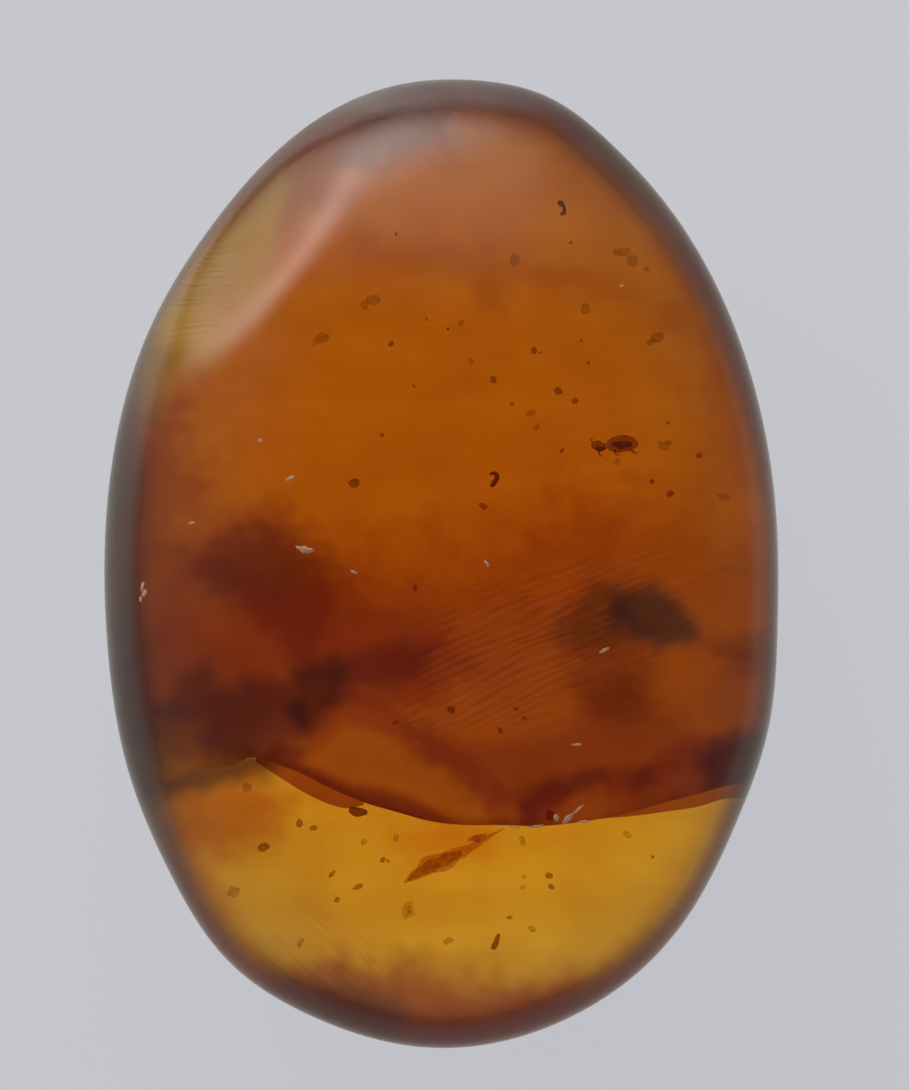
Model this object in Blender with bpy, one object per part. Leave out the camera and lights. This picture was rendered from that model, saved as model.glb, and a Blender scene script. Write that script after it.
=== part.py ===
# A polished pebble of amber, parted in two at the layer in which small remains lie sealed.
# Each remain is a piece of its own, in a pocket that is open to both halves of the stone.
# A thin reddish film, where one flow of resin ran over another, lies in the same layer.

import math

import bmesh
import bpy
from mathutils import Matrix, Vector

# All sizes below are millimetres and all angles degrees, counted from +X towards +Y.
# +Y is the stone's length, +X its width, and +Z points out of its crown.
MM = 0.001

HALF_LENGTH = 10.0
HALF_WIDTH = 6.95
CROWN_RISE = 3.6
BASE_DROP = 3.2
FLAT_SPOT_CUT = 0.1
GIRDLE_Z = BASE_DROP - FLAT_SPOT_CUT

# How square the stone's sides are in a vertical section: 2 is an ellipse.
CROWN_FULLNESS = 2.15
BASE_FULLNESS = 2.0
# Sides that are fuller than that: direction, spread and what is added.
CROWN_SIDES = (
    (0, 45, 0.7),
    (136, 22, 0.3),
    (230, 20, 0.25),
    (308, 20, 0.20),
)
BASE_SIDES = (
    (0, 45, 0.8),
    (136, 24, 1.4),
    (230, 20, 0.30),
    (308, 20, 0.25),
)

# Where the outline leaves its ellipse: direction, spread and height of each swell or flat.
SWELLS = (
    (77, 8, 0.15),
    (121, 18, -0.22),
    (219, 21, 0.19),
    (242, 12, 0.27),
    (302, 18, 0.29),
    (332, 15, 0.21),
)

# The ground facet at the stone's upper left.
FACET_TOWARDS = 136
FACET_INNER_EDGE = 6.2
FACET_TILT = 38
FACET_ROUNDING = 0.08

STONE_SEGMENTS = 72
STONE_RINGS = 30

PARTING_Z = 2.9
PARTING_GAP = 0.2
POCKET_CLEARANCE = 0.2
POCKET_SEGMENTS = 16
POCKET_RINGS = 8

# The sealed remains: where the middle of each one lies, its direction, its length, half its
# thickness, and half its width at even steps from one end to the other.
REMAINS = {
    "insect": ((3.36, 2.29), -3, 0.94, 0.12, (0.0, 0.11, 0.12, 0.08, 0.14, 0.15, 0.12, 0.0)),
    "leaf_fragment": ((0.28, -5.76), 26, 2.20, 0.05, (0.0, 0.17, 0.20, 0.18, 0.12, 0.06, 0.03, 0.0)),
    "dark_grain": ((1.01, 1.64), 80, 0.30, 0.07, (0.0, 0.07, 0.09, 0.07, 0.0)),
    "short_twig": ((-1.63, -4.84), -10, 0.40, 0.06, (0.0, 0.08, 0.08, 0.07, 0.0)),
    "tapered_twig": ((1.06, -7.39), 67, 0.38, 0.05, (0.0, 0.07, 0.05, 0.03, 0.0)),
    "curled_fleck": ((2.21, 6.94), 75, 0.32, 0.05, (0.0, 0.05, 0.06, 0.05, 0.0)),
    "leaf_crumb": ((-0.60, -6.79), 66, 0.42, 0.04, (0.0, 0.11, 0.12, 0.10, 0.0)),
    "bark_speck": ((-2.28, 4.34), 27, 0.40, 0.05, (0.0, 0.08, 0.10, 0.08, 0.0)),
    "husk_speck": ((-3.34, -5.56), 20, 0.24, 0.05, (0.0, 0.08, 0.09, 0.07, 0.0)),
}
# The film's lower edge, from left to right, its edge beside the facet, from the top down, and
# the directions between which it reaches out to the stone's sides.
FILM_THICKNESS = 0.08
FILM_REACH = 0.96
FILM_LOWER_EDGE = (
    (-5.30, -4.40),
    (-4.40, -4.10),
    (-3.55, -3.85),
    (-3.10, -4.20),
    (-2.50, -4.60),
    (-1.80, -4.85),
    (-0.80, -5.00),
    (0.50, -5.15),
    (2.00, -5.15),
    (3.10, -5.10),
    (4.10, -4.90),
    (4.75, -4.75),
    (6.00, -4.60),
)
FILM_FACET_EDGE = (
    (-2.70, 7.55),
    (-3.10, 6.15),
    (-3.30, 5.10),
    (-3.60, 4.45),
    (-4.20, 4.00),
    (-4.90, 3.20),
)
FILM_RIGHT_SIDE = (-36, 108)
FILM_LEFT_SIDE = (155, 215)
FILM_STEP = 6

REMAIN_SEGMENTS = 12
REMAIN_RINGS = 16

REMAIN_COLOURS = {
    "insect": (0.040, 0.012, 0.008),
    "leaf_fragment": (0.190, 0.050, 0.006),
    "dark_grain": (0.030, 0.010, 0.006),
    "short_twig": (0.045, 0.016, 0.006),
    "tapered_twig": (0.070, 0.024, 0.005),
    "curled_fleck": (0.080, 0.022, 0.008),
    "leaf_crumb": (0.260, 0.100, 0.015),
    "bark_speck": (0.120, 0.045, 0.012),
    "husk_speck": (0.110, 0.045, 0.015),
}
AMBER_COLOUR = (0.58, 0.22, 0.02)
FILM_COLOUR = (0.42, 0.09, 0.02)


def clear_scene():
    for old in list(bpy.data.objects):
        bpy.data.objects.remove(old)


def make_collection(name):
    collection = bpy.data.collections.new(name)
    bpy.context.scene.collection.children.link(collection)
    return collection


def make_material(name, colour, roughness, transmission):
    material = bpy.data.materials.new(name)
    material.use_nodes = True
    shader = material.node_tree.nodes["Principled BSDF"]
    shader.inputs["Base Color"].default_value = (*colour, 1.0)
    shader.inputs["Roughness"].default_value = roughness
    shader.inputs["Transmission Weight"].default_value = transmission
    shader.inputs["IOR"].default_value = 1.54
    return material


def bumps(angle, rows):
    """The sum of smooth bumps round the stone, each at its direction, at an angle in radians."""
    total = 0.0
    for towards, spread, height in rows:
        apart = (math.degrees(angle) - towards + 180) % 360 - 180
        total += height * math.exp(-((apart / spread) ** 2))
    return total


def outline_radius(angle):
    """Distance from the stone's axis to its girdle, in the direction angle (radians)."""
    across = HALF_LENGTH * math.cos(angle)
    along = HALF_WIDTH * math.sin(angle)
    return HALF_LENGTH * HALF_WIDTH / math.hypot(across, along) + bumps(angle, SWELLS)


def fullness(angle, rising):
    """How square the vertical section is in a direction, above or below the girdle."""
    if rising:
        return CROWN_FULLNESS + bumps(angle, CROWN_SIDES)
    return BASE_FULLNESS + bumps(angle, BASE_SIDES)


def crown_height(x, y):
    """Height of the crown above the flat spot, before the facet is ground."""
    angle = math.atan2(y, x)
    power = fullness(angle, True)
    share = min(1.0, math.hypot(x, y) / outline_radius(angle))
    return GIRDLE_Z + CROWN_RISE * (1 - share**power) ** (1 / power)


def ground_by_facet(point):
    """Pulls a point that stands proud of the facet back to its plane, with a soft edge."""
    towards = math.radians(FACET_TOWARDS)
    tilt = math.radians(FACET_TILT)
    across = Vector((math.cos(towards), math.sin(towards), 0))
    normal = across * math.sin(tilt) + Vector((0, 0, math.cos(tilt)))
    edge = across * FACET_INNER_EDGE
    edge.z = crown_height(edge.x, edge.y)
    proud = (point - edge).dot(normal)
    if proud < -10 * FACET_ROUNDING:
        return point
    kept = -FACET_ROUNDING * math.log(1 + math.exp(-proud / FACET_ROUNDING))
    return point + normal * (kept - proud)


def stone_point(direction):
    """The point of the stone's surface that a point of the unit sphere goes to."""
    angle = math.atan2(direction.y, direction.x)
    flat = math.hypot(direction.x, direction.y)
    rising = direction.z > 0
    power = fullness(angle, rising)
    reach = (flat**power + abs(direction.z) ** power) ** (-1 / power)
    radius = outline_radius(angle) * flat * reach
    drop = CROWN_RISE if rising else BASE_DROP
    point = Vector((radius * math.cos(angle), radius * math.sin(angle), 0))
    point.z = GIRDLE_Z + drop * direction.z * reach
    point = ground_by_facet(point)
    point.z = max(point.z, 0.0)
    return point


def link_mesh(name, shape, collection, material=None):
    mesh = bpy.data.meshes.new(name)
    shape.to_mesh(mesh)
    shape.free()
    mesh.shade_smooth()
    if material is not None:
        mesh.materials.append(material)
    made = bpy.data.objects.new(name, mesh)
    collection.objects.link(made)
    return made


def make_stone(name, collection, material):
    """The whole stone: a sphere whose points are moved to the pebble's surface."""
    shape = bmesh.new()
    bmesh.ops.create_uvsphere(
        shape, u_segments=STONE_SEGMENTS, v_segments=STONE_RINGS, radius=1.0
    )
    for vertex in shape.verts:
        vertex.co = stone_point(vertex.co) * MM
    made = link_mesh(name, shape, collection, material)
    made.data.set_sharp_from_angle(angle=math.radians(30))
    return made


def make_slab(name, low, high, collection):
    """A block that holds everything between two heights, to cut one half off the stone."""
    shape = bmesh.new()
    bmesh.ops.create_cube(shape, size=1.0)
    wide = 4 * HALF_LENGTH
    bmesh.ops.scale(shape, vec=Vector((wide, wide, high - low)) * MM, verts=shape.verts)
    lift = Vector((0, 0, (low + high) / 2)) * MM
    bmesh.ops.translate(shape, vec=lift, verts=shape.verts)
    return hide_cutter(link_mesh(name, shape, collection))


def hide_cutter(cutter):
    cutter.hide_render = True
    cutter.display_type = "WIRE"
    return cutter


def smooth_between(values, share):
    """Reads a row of values at a share of its length, with an eased step between neighbours."""
    place = share * (len(values) - 1)
    first = min(int(place), len(values) - 2)
    step = place - first
    eased = step * step * (3 - 2 * step)
    return values[first] * (1 - eased) + values[first + 1] * eased


def place_remain(made, centre, direction):
    made.location = Vector((*centre, PARTING_Z)) * MM
    made.rotation_euler = (0, 0, math.radians(direction))


def make_remain(name, facts, collection, material):
    """A long rounded body whose half width follows the remain's own row of widths."""
    centre, direction, length, half_thickness, half_widths = facts
    shape = bmesh.new()
    bmesh.ops.create_uvsphere(
        shape, u_segments=REMAIN_SEGMENTS, v_segments=REMAIN_RINGS, radius=1.0
    )
    lay_down = Matrix.Rotation(math.radians(90), 3, "Y")
    widest = max(half_widths)
    for vertex in shape.verts:
        point = lay_down @ vertex.co
        share = min(max((point.x + 1) / 2, 0.0), 1.0)
        ring = math.hypot(point.y, point.z)
        width = smooth_between(half_widths, share)
        if ring > 1e-6:
            thick = half_thickness * math.sqrt(width / widest)
            point.y *= width / ring
            point.z *= thick / ring
        point.x = (share - 0.5) * length
        vertex.co = point * MM
    made = link_mesh(name, shape, collection, material)
    place_remain(made, centre, direction)
    return made


def side_points(first, last):
    """Points along the stone's side, a little inside it, from one direction to another."""
    points = []
    steps = round((last - first) / FILM_STEP)
    for step in range(steps + 1):
        angle = math.radians(first + (last - first) * step / steps)
        radius = outline_radius(angle) * FILM_REACH
        points.append((radius * math.cos(angle), radius * math.sin(angle)))
    return points


def make_film(name, collection, material):
    """The thin film in the parting layer, as a flat plate with the film's outline."""
    outline = list(FILM_LOWER_EDGE)
    outline += side_points(*FILM_RIGHT_SIDE)
    outline += list(FILM_FACET_EDGE)
    outline += side_points(*FILM_LEFT_SIDE)
    shape = bmesh.new()
    rims = []
    for z in (PARTING_Z - FILM_THICKNESS / 2, PARTING_Z + FILM_THICKNESS / 2):
        rims.append([shape.verts.new(Vector((x, y, z)) * MM) for x, y in outline])
    lower, upper = rims
    shape.faces.new(upper)
    shape.faces.new(list(reversed(lower)))
    for index, corner in enumerate(lower):
        following = (index + 1) % len(lower)
        shape.faces.new((corner, lower[following], upper[following], upper[index]))
    made = link_mesh(name, shape, collection, material)
    made.data.set_sharp_from_angle(angle=math.radians(30))
    return made


def make_pocket(name, facts, collection):
    """The room around one remain: a smooth egg, wider than the remain by the clearance."""
    centre, direction, length, half_thickness, half_widths = facts
    reach = Vector((length / 2, max(half_widths), half_thickness))
    roomy = Vector((1.0, 1.25, 1.25))
    shape = bmesh.new()
    bmesh.ops.create_uvsphere(
        shape, u_segments=POCKET_SEGMENTS, v_segments=POCKET_RINGS, radius=1.0
    )
    for vertex in shape.verts:
        for axis in range(3):
            vertex.co[axis] *= (reach[axis] * roomy[axis] + POCKET_CLEARANCE) * MM
    made = link_mesh(name, shape, collection)
    place_remain(made, centre, direction)
    return hide_cutter(made)


def cut(target, cutter, operation):
    step = target.modifiers.new(operation.lower() + "_" + cutter.name, "BOOLEAN")
    step.operation = operation
    step.solver = "EXACT"
    step.object = cutter


def build():
    clear_scene()
    pieces = make_collection("amber_pebble")
    cutters = make_collection("cutters")
    amber = make_material("amber", AMBER_COLOUR, 0.05, 1.0)

    below = make_slab("below_the_parting", -1.0, PARTING_Z - PARTING_GAP / 2, cutters)
    above = make_slab("above_the_parting", PARTING_Z + PARTING_GAP / 2, 8.0, cutters)
    around_remains = []
    for name, space in (("amber_base", below), ("amber_crown", above)):
        half = make_stone(name, pieces, amber)
        cut(half, space, "INTERSECT")
        around_remains.append(half)
    film_finish = make_material("flow_film", FILM_COLOUR, 0.2, 0.6)
    around_remains.append(make_film("flow_film", pieces, film_finish))

    for name, facts in REMAINS.items():
        finish = make_material(name, REMAIN_COLOURS[name], 0.6, 0.0)
        make_remain(name, facts, pieces, finish)
        pocket = make_pocket("pocket_" + name, facts, cutters)
        for piece in around_remains:
            cut(piece, pocket, "DIFFERENCE")


build()
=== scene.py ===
import math
import random

import bmesh
import bpy
import numpy as np
from mathutils import Matrix, Vector, noise


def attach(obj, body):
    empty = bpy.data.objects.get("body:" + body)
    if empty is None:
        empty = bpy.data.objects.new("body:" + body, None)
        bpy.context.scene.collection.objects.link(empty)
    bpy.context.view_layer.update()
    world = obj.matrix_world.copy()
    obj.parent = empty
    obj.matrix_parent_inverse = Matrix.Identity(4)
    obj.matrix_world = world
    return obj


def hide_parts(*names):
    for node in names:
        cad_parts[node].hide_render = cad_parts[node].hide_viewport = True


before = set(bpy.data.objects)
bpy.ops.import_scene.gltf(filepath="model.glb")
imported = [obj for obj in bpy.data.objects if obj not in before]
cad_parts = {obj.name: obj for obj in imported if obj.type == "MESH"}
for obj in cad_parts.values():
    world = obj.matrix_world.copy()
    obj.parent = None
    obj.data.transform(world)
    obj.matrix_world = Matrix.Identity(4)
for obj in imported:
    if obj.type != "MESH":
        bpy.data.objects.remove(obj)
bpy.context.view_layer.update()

# All sizes are millimetres and all angles degrees, counted from +X towards +Y, unless a name
# says otherwise. The stone's shape repeats the values of the solid model, apart from the facet:
# here it is a little steeper and farther out, which puts its sheen where the photo has it.
MM = 0.001

HALF_LENGTH = 10.0
HALF_WIDTH = 6.95
CROWN_RISE = 3.6
BASE_DROP = 3.2
FLAT_SPOT_CUT = 0.1
GIRDLE_Z = BASE_DROP - FLAT_SPOT_CUT
# How square the stone's sides are in a vertical section: 2 is an ellipse.
CROWN_FULLNESS = 2.15
BASE_FULLNESS = 2.0
# Sides that are fuller than that: direction, spread and what is added.
CROWN_SIDES = (
    (0, 45, 0.7),
    (136, 22, 0.3),
    (230, 20, 0.25),
    (308, 20, 0.20),
)
BASE_SIDES = (
    (0, 45, 0.8),
    (136, 24, 1.4),
    (230, 20, 0.30),
    (308, 20, 0.25),
)
# How the outline departs from an ellipse: direction, spread and height of each swell.
SWELLS = (
    (77, 8, 0.15),
    (121, 18, -0.22),
    (219, 21, 0.19),
    (242, 12, 0.27),
    (302, 18, 0.29),
    (332, 15, 0.21),
)
# The ground facet: its direction, how far its inner edge is from the stone's axis, its tilt, and
# how soft its edge is.
FACET_TOWARDS = 136
FACET_INNER_EDGE = 6.55
FACET_TILT = 40.5
FACET_ROUNDING = 0.05

AMBER_IOR = 1.54
# The colour that amber lets through, and how strongly it takes up the others, per metre.
AMBER_COLOUR = (0.992, 0.83, 0.05)
AMBER_DENSITY = 800.0
# The base is matt and the crown is polished. One goes over into the other between two heights.
BASE_ROUGHNESS = 0.30
CROWN_ROUGHNESS = 0.02
POLISH_STARTS = GIRDLE_Z - 0.5
POLISH_FULL = GIRDLE_Z + 0.3
# The haze of worn places is a rough coat. Noise of this scale thins it here and there, between
# these values of the noise and down to this share.
HAZE_ROUGHNESS = 0.55
HAZE_IOR = 2.0
HAZE_SCALE = 1.6
HAZE_NOISE = (0.3, 0.7)
HAZE_LEAST = 0.55
# Worn places of the crown: middle, half sizes, turn, softness, strength.
WORN_PLACES = (
    ((-5.6, 0.5), (2.0, 8.0), -8, 0.7, 0.36),
    ((0.2, 9.8), (5.0, 0.7), 0, 0.5, 0.8),
    ((1.2, 7.6), (5.2, 1.9), 0, 0.6, 0.52),
    ((0.5, -3.2), (7.0, 1.9), 0, 0.6, 0.36),
    ((5.9, 1.0), (1.8, 8.0), 8, 0.7, 0.10),
    ((4.5, -1.1), (1.1, 0.7), -30, 0.5, 0.7),
)

# The camera looks straight down. Its frame is this high at the girdle, and its axis passes the
# stone's axis at this distance.
FRAME_HEIGHT = 22.54
CAMERA_OFFSET = Vector((0.28, 0.38))
CAMERA_LENS = 180.0
SENSOR = 36.0
CAMERA_Z = GIRDLE_Z + FRAME_HEIGHT * CAMERA_LENS / SENSOR
# Enough for light that passes through the stone, the skins and a remain with its core.
LIGHT_BOUNCES = 16

# The lit pad: how bright it glows, and where its light starts and ends to fade.
PAD_GLOW = 0.555
PAD_GLOW_COLOUR = (0.93, 0.95, 1.01)
FAR_GLOW_COLOUR = (0.20, 0.20, 0.208)
PAD_COLOUR = (0.22, 0.22, 0.22)
FAR_COLOUR = (0.03, 0.03, 0.03)
LIT_RADIUS = 15.0
DARK_RADIUS = 45.0
# A pool of light is painted into the pad's glow under the stone, for the light that the stone
# gathers there.
# This fades between two shares of its outline.
PAINTED_POOL_GLOW = 1.26
PAINTED_POOL_FADE = (0.45, 0.98)
# The pad lies this far below the flat spot, so that the two don't share a plane.
PAD_DROP = 0.03
PAD_RADIUS = 500.0

# The room's light: low above, where the camera is, and a little higher near the horizon, up to
# a direction's z of ROOM_CLEARS_AT.
ROOM_COLOUR = (0.95, 0.97, 1.0)
ROOM_ABOVE = 0.02
ROOM_HORIZON = 0.12
ROOM_CLEARS_AT = 0.8
# Seen in the polish at a slant, the pad is dimmer than from above, and brighter by up to
# SLANT_LEAN on the window's side. It takes over from the room down to a direction's z of
# SLANT_FULL_AT.
SLANT_GLOW = 0.42
SLANT_GLOW_COLOUR = (1.0, 0.97, 0.90)
SLANT_LEAN = 0.9
SLANT_LEAN_POWER = 3.0
SLANT_LEAN_TOWARDS = 128
SLANT_FULL_AT = -0.3
# A soft patch of sky beyond the stone's top end: direction, height, half width, the cosine of
# the angle within which it is at its full brightness, and that brightness.
SKY_TOWARDS = 85
SKY_RISE = 32
SKY_REACH = 31
SKY_FULL_COSINE = 0.995
SKY_GLOW = 0.45

# The window light: direction, height, distance, size and brightness. It is see-through, so it
# adds its light to the sky's and hides nothing.
WINDOW_TOWARDS = 120
WINDOW_RISE = 21
WINDOW_DISTANCE = 250.0
WINDOW_HALF_WIDTH = 235.0
WINDOW_HALF_HEIGHT = 112.0
WINDOW_GLOW = 3.5
WINDOW_COLOUR = (1.0, 0.93, 0.92)

# From here on, a place of a thing inside the stone is where the camera sees it: x and y in the
# girdle plane. lies_at works out its true place, in a few rounds.
SIGHT_ROUNDS = 6

# The flow layer: thin reddish skins in the layer of the remains, left by one flow of resin over
# another. They end a little inside the stone's sides. The lower skin and the crescents lie
# deeper than the upper one.
LAYER_Z = 2.9
FLOW_INSET = 0.97
FLOW_THICKNESS = 0.03
LOWER_FLOW_DROP = 0.05
# Columns and rows of each sheet. The rows crowd towards the sheet's sharp edge, and the columns
# stop just short of its ends.
UPPER_GRID = (240, 185)
LOWER_GRID = (160, 100)
CRESCENT_GRID = (60, 10)
ROW_CROWDING = 1.3
COLUMN_REACH = 0.9995
# A strip along the upper skin's edge is deeper in colour: its width, how it fades, the share of
# the tint that it takes away, and the x to the left of which there is none.
EDGE_STRIP = 0.30
EDGE_STRIP_FADE = 1.5
EDGE_STRIP_DEPTH = (0.38, 0.58, 0.5)
EDGE_STRIP_FROM = -4.6

# The lower edge of the upper skin, and the outer lines of the two narrow crescents below it.
FLOW_EDGE = (
    (-6.85, -4.48), (-6.02, -4.60), (-5.50, -4.50), (-4.98, -4.29), (-4.26, -4.15), (-3.95, -4.02),
    (-3.54, -4.11), (-2.92, -4.33), (-2.30, -4.64), (-1.68, -4.91), (-0.85, -5.16), (-0.23, -5.33),
    (0.50, -5.41), (1.22, -5.41), (2.05, -5.43), (2.87, -5.35), (3.70, -5.20), (4.53, -4.97),
    (5.36, -4.75), (6.08, -4.56), (6.90, -4.27),
)
LEFT_CRESCENT = (
    (-3.82, -4.10), (-3.43, -4.36), (-3.12, -4.56), (-2.71, -4.80), (-2.30, -4.98), (-1.95, -5.06),
    (-1.60, -5.00),
)
RIGHT_CRESCENT = (
    (3.29, -5.28), (4.07, -5.21), (4.57, -5.14), (5.36, -5.01), (5.85, -4.86), (6.39, -4.66),
)
UPPER_SKIN = (0.655, 0.335, 0.34)
LOWER_SKIN = (1.0, 0.87, 1.0)
CRESCENT_SKIN = (0.52, 0.24, 0.22)
# Skins and remains bend no light, they only tint it.
SEE_THROUGH = {"Transmission Weight": 1.0, "IOR": 1.0, "Roughness": 0.0}
NO_TINT = (1, 1, 1)
# Patterns in the skins: where each is at its fullest, where it ends, and the tint it gives.
CLOUDS = (0.35, 0.65, (0.93, 0.86, 0.85))
CLOUD_SCALE = 0.8
STREAKS = (0.42, 0.68, (0.95, 0.92, 0.92))
STREAK_SCALE = 0.9
STREAK_STRETCH = (0.35, 1.6, 1.0)
STREAK_TURN = -12
# Painted light and shade of the crown's scratches: each scratch above is painted on the skin as a
# pale line, with dark ones beside it.
SCRATCH_PAINTED_SHADE = (1.0, 0.0, (0.75, 0.63, 0.70))
SCRATCH_PAINTED_LIGHT = (1.0, 0.0, (1.12, 1.22, 1.4))

# Stains of the skins: softness of the rim, the tint that light gets by passing through, and the
# corners as they are seen. A FADED or OLIVE stain takes the place of the tint under it, and the
# others deepen it. Noise makes the rims ragged: how far, and how fine.
RAGGED_RIMS = ((0.6, 1.1), (0.35, 3.7))
LEAST_RAGGED = 0.04
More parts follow.
